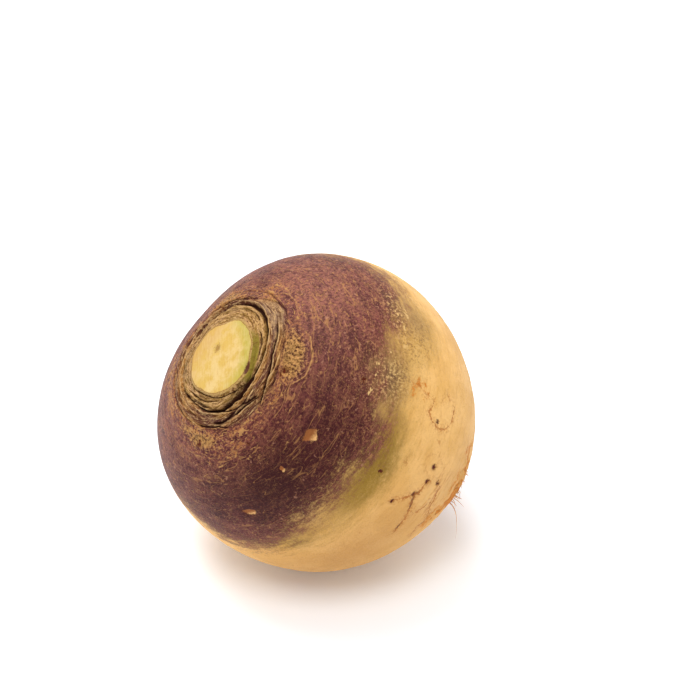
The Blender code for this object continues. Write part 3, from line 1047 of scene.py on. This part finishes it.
crack_colour = paint(tree, CRACK_TAN, rise(tree, crack_dark, 0.76, 0.9), BARK_AND_SHADE_BROWN)
colour = paint(tree, colour, rise(tree, crack_mask, 0.05, 0.75, 0.0, 0.85), crack_colour)
round_crack = rise(tree, crack_line, 2.4, 0.5)
round_crack = times(tree, round_crack, painted(tree, "crack_near"))
round_crack = times(tree, round_crack, rise(tree, coarse, 0.44, 0.62, 0.0, 0.7))
colour = paint(tree, colour, round_crack, CRACK_TAN)
pits = 0.0
for spot_azimuth, spot_polar, size in SPOTS:
    spot = Vector(direction(spot_azimuth, spot_polar) * globe_reach(spot_polar))
    distance = add_node(
        tree, "ShaderNodeVectorMath", {0: upright, 1: spot}, operation="DISTANCE"
    ).outputs["Value"]
    distance = plus(tree, distance, swing(tree, coarse, 0.8))
    pits = maths(tree, "MAXIMUM", pits, rise(tree, distance, 2.1 * size, 0.3 * size))
pit_colour = paint(tree, CRACK_TAN, rise(tree, pits, 0.25, 0.6), BARK_AND_SHADE_BROWN)
pit_colour = paint(tree, pit_colour, rise(tree, pits, 0.6, 0.9), PIT_BROWN)
colour = paint(tree, colour, pits, pit_colour)
tree.links.new(colour, shader.inputs["Base Color"])

# Living skin is a little waxy, and scars and bark are dry.
dryness = maths(tree, "MAXIMUM", in_scars, rise(tree, cork_share, 0.15, 0.75))
gloss = times_plus(tree, fine, 0.4, 0.33)
tree.links.new(times_plus(tree, dryness, 0.3, gloss), shader.inputs["Roughness"])
relief = times_plus(tree, threads, 0.5, times(tree, fine, 0.8))
relief = times_plus(tree, strands, 0.8, relief)
relief = times_plus(tree, coarse, 1.0, relief)
relief = times_plus(tree, ring_streak, 0.6, relief)
relief = times_plus(tree, speckle, 0.6, relief)
relief = times_plus(tree, times(tree, fibre, in_scars), 1.6, relief)
relief = times_plus(tree, crack_mask, -0.5, relief)
relief = times_plus(tree, pits, -1.5, relief)
bump = add_node(
    tree, "ShaderNodeBump", {"Height": relief, "Distance": 0.00025, "Strength": 0.8}
)
tree.links.new(bump.outputs["Normal"], shader.inputs["Normal"])

# The flesh of the cut face: creamy yellow, greener toward its upper side, with brown pith. A
# brown line parts it from the skin round its rim.
FLESH_CREAM = linear(208, 178, 116)
FLESH_YELLOW = linear(198, 162, 80)
FLESH_TAN = linear(186, 140, 72)
FLESH_GREEN = linear(162, 152, 54)
FLESH_BROWN = linear(120, 78, 34)
RIM_BARK = linear(166, 132, 76)

flesh = bpy.data.materials.new("rutabaga_flesh")
flesh.use_nodes = True
tree = flesh.node_tree
shader = tree.nodes["Principled BSDF"]
shader.inputs["Specular IOR Level"].default_value = 0.2
upright, ovalled, drawn_out = root_places(tree)
fine = grain(tree, upright, 0.6, 3.0, 0.65)
cloud = grain(tree, upright, 4.0, 4.0, 0.6)
parts = add_node(tree, "ShaderNodeSeparateXYZ", {0: upright}).outputs
neck_x = maths(tree, "SUBTRACT", parts["X"], NECK_MIDDLE[0])
neck_y = maths(tree, "SUBTRACT", parts["Y"], NECK_MIDDLE[1])
knife_places = add_node(
    tree, "ShaderNodeCombineXYZ",
    {
        "X": times(tree, plus(tree, neck_x, neck_y), 0.12),
        "Y": maths(tree, "SUBTRACT", neck_x, neck_y),
        "Z": 0.0,
    },
).outputs["Vector"]
knife_marks = grain(tree, knife_places, 0.9, 2.0, 0.6)
colour = paint(tree, FLESH_YELLOW, rise(tree, cloud, 0.38, 0.62), FLESH_CREAM)
left = plus(tree, times(tree, neck_y, -1.0), swing(tree, cloud, 5.0))
colour = paint(tree, colour, rise(tree, left, 1.0, 13.0, 0.0, 0.6), FLESH_TAN)
right = times_plus(tree, neck_x, -0.6, times(tree, neck_y, 0.8))
right = plus(tree, right, swing(tree, cloud, 4.0))
by_rim = plus(tree, painted(tree, "cut_edge"), swing(tree, cloud, 2.5))
green = times(tree, rise(tree, right, 0.0, 11.0), rise(tree, by_rim, 8.0, 0.0))
colour = coats(
    tree, colour,
    (times(tree, green, 0.85), FLESH_GREEN),
    (rise(tree, knife_marks, 0.52, 0.7, 0.0, 0.45), FLESH_CREAM),
    (rise(tree, knife_marks, 0.46, 0.3, 0.0, 0.4), FLESH_TAN),
    (rise(tree, fine, 0.44, 0.28, 0.0, 0.45), FLESH_TAN),
)
pith_distance = add_node(
    tree, "ShaderNodeVectorMath", {0: upright, 1: (*PITH_PLACE, NECK_TOP)}, operation="DISTANCE"
).outputs["Value"]
pith_ragged = plus(tree, pith_distance, swing(tree, fine, 0.9))
colour = paint(tree, colour, rise(tree, pith_ragged, 2.0, 0.6, 0.0, 0.6), FLESH_BROWN)
from_rim = plus(tree, painted(tree, "cut_edge"), swing(tree, cloud, 0.5))
bark = paint(tree, RIM_BARK, rise(tree, fine, 0.5, 0.36), FLESH_BROWN)
colour = paint(tree, colour, rise(tree, from_rim, 1.6, 0.4, 0.0, 0.35), FLESH_TAN)
colour = paint(tree, colour, rise(tree, from_rim, 0.8, 0.55, 0.0, 0.9), bark)
rim_line = maths(tree, "ABSOLUTE", maths(tree, "SUBTRACT", from_rim, 0.78))
colour = paint(tree, colour, rise(tree, rim_line, 0.2, 0.05, 0.0, 0.8), FLESH_BROWN)
# Painted shade in the notch at the rim: dark brown.
notch = rise(tree, plus(tree, painted(tree, "notch"), swing(tree, fine, 0.2)), 0.3, 0.6)
colour = paint(tree, colour, notch, BARK_AND_SHADE_BROWN)
tree.links.new(colour, shader.inputs["Base Color"])
shader.inputs["Roughness"].default_value = 0.55
relief = times_plus(tree, knife_marks, 0.8, times(tree, fine, 0.8))
bump = add_node(tree, "ShaderNodeBump", {"Height": relief, "Distance": 0.00025, "Strength": 0.7})
tree.links.new(bump.outputs["Normal"], shader.inputs["Normal"])

root.data.materials.append(skin)
root.data.materials.append(flesh)
last_cut_ring = int(np.argmin(RING_RADIUS[:24] < 14.0))
root.data.polygons.foreach_set("material_index", (face_ring < last_cut_ring).astype(np.int32))
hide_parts("rutabaga")
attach(root, "root")


# ------------------------------------------------------------------------------------------------
# Rootlets: fine side roots that dried where they grew, round the taproot's end and out of the
# corky bark. One straight tapered rootlet is modelled, and each of the others is a bent copy.
# ------------------------------------------------------------------------------------------------
ROOTLET_LENGTH = 6.0
ROOTLET_RADIUS = 0.28
ROOTLET_STEPS = 6
# Middle azimuth and polar angle of each tuft, its spreads, how many, and shortest and longest.
TUFTS = (
    (0.0, 172.0, 180.0, 7.0, 46, 1.5, 8.0),
    (0.0, 160.0, 180.0, 6.0, 16, 1.5, 5.0),
    (98.0, 127.0, 4.0, 3.0, 14, 1.5, 4.0),
    (92.0, 125.5, 3.0, 1.5, 7, 3.5, 10.0),
    (105.0, 119.5, 1.5, 1.0, 3, 2.0, 3.5),
    (280.0, 128.0, 10.0, 5.0, 14, 1.5, 6.0),
)

bpy.ops.object.select_all(action="DESELECT")
bpy.ops.mesh.primitive_cone_add(
    vertices=5, radius1=ROOTLET_RADIUS * MM, radius2=0.25 * ROOTLET_RADIUS * MM,
    depth=ROOTLET_LENGTH * MM, location=(0.0, 0.0, 0.5 * ROOTLET_LENGTH * MM),
)
rootlet = bpy.context.object
rootlet.name = "one_rootlet"
bpy.ops.object.transform_apply(location=True, rotation=True, scale=True)
for step in range(1, ROOTLET_STEPS):
    bpy.ops.object.mode_set(mode="EDIT")
    bpy.ops.mesh.select_all(action="SELECT")
    bpy.ops.mesh.bisect(
        plane_co=(0.0, 0.0, ROOTLET_LENGTH * MM * step / ROOTLET_STEPS), plane_no=(0.0, 0.0, 1.0)
    )
    bpy.ops.object.mode_set(mode="OBJECT")
bpy.ops.object.shade_smooth()

straight = np.array([point.co for point in rootlet.data.vertices]) / MM
way_along = straight[:, 2:] / ROOTLET_LENGTH
tuft_chance = random.Random(5)
rootlets = []
for middle_azimuth, middle_polar, spread, polar_spread, count, shortest, longest in TUFTS:
    for number in range(count):
        toward = direction(
            middle_azimuth + tuft_chance.uniform(-spread, spread),
            middle_polar + tuft_chance.uniform(-polar_spread, polar_spread),
        )
        foot_place = places[int(np.argmax(rays @ toward))]
        out = laid_over @ Vector(toward)
        side = out.orthogonal().normalized()
        side.rotate(Matrix.Rotation(tuft_chance.uniform(0.0, math.tau), 3, out))
        length = shortest + (longest - shortest) * tuft_chance.random() ** 2
        thick = tuft_chance.uniform(0.45, 1.0)
        curl = tuft_chance.uniform(0.1, 0.7)
        hang = 0.15 + 0.1 * length
        course = (
            np.array(foot_place) - 0.3 * np.array(out)
            + np.array(out) * length * (way_along - 0.45 * way_along**2)
            + np.array(side) * length * curl * way_along**2
            + np.array((0.0, 0.0, -hang)) * length * way_along**2
        )
        across = np.array(side) * straight[:, :1] + np.array(out.cross(side)) * straight[:, 1:2]
        copy = rootlet.copy()
        copy.data = rootlet.data.copy()
        bpy.context.collection.objects.link(copy)
        copy.data.vertices.foreach_set("co", ((course + thick * across) * MM).ravel())
        rootlets.append(copy)
bpy.data.objects.remove(rootlet)

bpy.ops.object.select_all(action="DESELECT")
for copy in rootlets:
    copy.select_set(True)
bpy.context.view_layer.objects.active = rootlets[0]
bpy.ops.object.join()
tufts = bpy.context.object
tufts.name = "rootlets"

ROOTLET_ORANGE = linear(200, 132, 62)
ROOTLET_STRAW = linear(222, 176, 112)

fibre_skin = bpy.data.materials.new("rootlet_skin")
fibre_skin.use_nodes = True
tree = fibre_skin.node_tree
shader = tree.nodes["Principled BSDF"]
upright, ovalled, drawn_out = root_places(tree)
mottle = grain(tree, upright, 1.4, 2.0, 0.6)
colour = paint(tree, ROOTLET_ORANGE, rise(tree, mottle, 0.42, 0.6), ROOTLET_STRAW)
cork_dots = use_group(tree, cork_flecks, {"Places": upright, "Size": 0.7, "Cover": 0.35})
colour = paint(tree, colour, times(tree, cork_dots, 0.6), BARK_AND_SHADE_BROWN)
tree.links.new(colour, shader.inputs["Base Color"])
shader.inputs["Roughness"].default_value = 0.75
bump = add_node(tree, "ShaderNodeBump", {"Height": mottle, "Distance": 0.00008, "Strength": 0.6})
tree.links.new(bump.outputs["Normal"], shader.inputs["Normal"])
tufts.data.materials.append(fibre_skin)
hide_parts("rutabaga")
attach(tufts, "root")


# ------------------------------------------------------------------------------------------------
# The floor: a wide white sheet that the root lies on, lit a little from below.
# ------------------------------------------------------------------------------------------------
bpy.ops.object.select_all(action="DESELECT")
bpy.ops.mesh.primitive_plane_add(size=12.0, location=(0.0, 0.0, 0.0))
floor = bpy.context.object
floor.name = "floor"
paper = bpy.data.materials.new("white_sheet")
paper.use_nodes = True
paper_shader = paper.node_tree.nodes["Principled BSDF"]
paper_shader.inputs["Base Color"].default_value = (0.91, 0.94, 0.99, 1.0)
paper_shader.inputs["Roughness"].default_value = 0.9
paper_shader.inputs["Specular IOR Level"].default_value = 0.2
paper_shader.inputs["Emission Color"].default_value = (1.0, 1.0, 1.0, 1.0)
paper_shader.inputs["Emission Strength"].default_value = 0.09
floor.data.materials.append(paper)


# ------------------------------------------------------------------------------------------------
# Light: a white surround, a large soft panel overhead, and a smaller one high up in front.
# ------------------------------------------------------------------------------------------------
world = bpy.data.worlds.new("white_surround")
world.use_nodes = True
tree = world.node_tree
looking = add_node(tree, "ShaderNodeTexCoord").outputs["Generated"]
to_back = add_node(tree, "ShaderNodeSeparateXYZ", {0: looking}).outputs["Y"]
tree.links.new(
    rise(tree, to_back, -1.0, 0.1, 0.43, 0.87), tree.nodes["Background"].inputs["Strength"]
)
tree.nodes["Background"].inputs["Color"].default_value = (1.0, 1.0, 1.0, 1.0)
bpy.context.scene.world = world


def soft_panel(name, place, width, brightness):
    """A square light panel that faces the root."""
    facing = (Vector((0.0, 0.0, 0.05)) - Vector(place)).to_track_quat("-Z", "Y").to_euler()
    bpy.ops.object.light_add(type="AREA", location=place, rotation=facing)
    panel = bpy.context.object
    panel.name = name
    panel.data.shape = "SQUARE"
    panel.data.size = width
    panel.data.energy = brightness * math.pi * width**2


soft_panel("top_panel", (-0.5, 0.55, 1.9), 1.2, 5.4)
soft_panel("front_panel", (-0.2, -0.9, 1.8), 0.8, 8.2)
bpy.context.scene.view_settings.view_transform = "Standard"


# ------------------------------------------------------------------------------------------------
# The camera: a long lens, looking down on the root from the front.
# ------------------------------------------------------------------------------------------------
CAMERA_ELEVATION = 33.0
CAMERA_DISTANCE = 0.70
CAMERA_LENS = 102.3
AIM_RIGHT = 11.6 * MM
AIM_UP = 21.5 * MM

elevation = math.radians(CAMERA_ELEVATION)
look = Vector((0.0, math.cos(elevation), -math.sin(elevation)))
screen_up = Vector((0.0, math.sin(elevation), math.cos(elevation)))
aim = Vector(ROOT_CENTRE) * MM + Vector((AIM_RIGHT, 0.0, 0.0)) + screen_up * AIM_UP
bpy.ops.object.camera_add(
    location=aim - look * CAMERA_DISTANCE, rotation=look.to_track_quat("-Z", "Y").to_euler()
)
camera = bpy.context.object
camera.data.lens = CAMERA_LENS
camera.data.sensor_width = 36.0
camera.data.clip_end = 50.0
bpy.context.scene.camera = camera
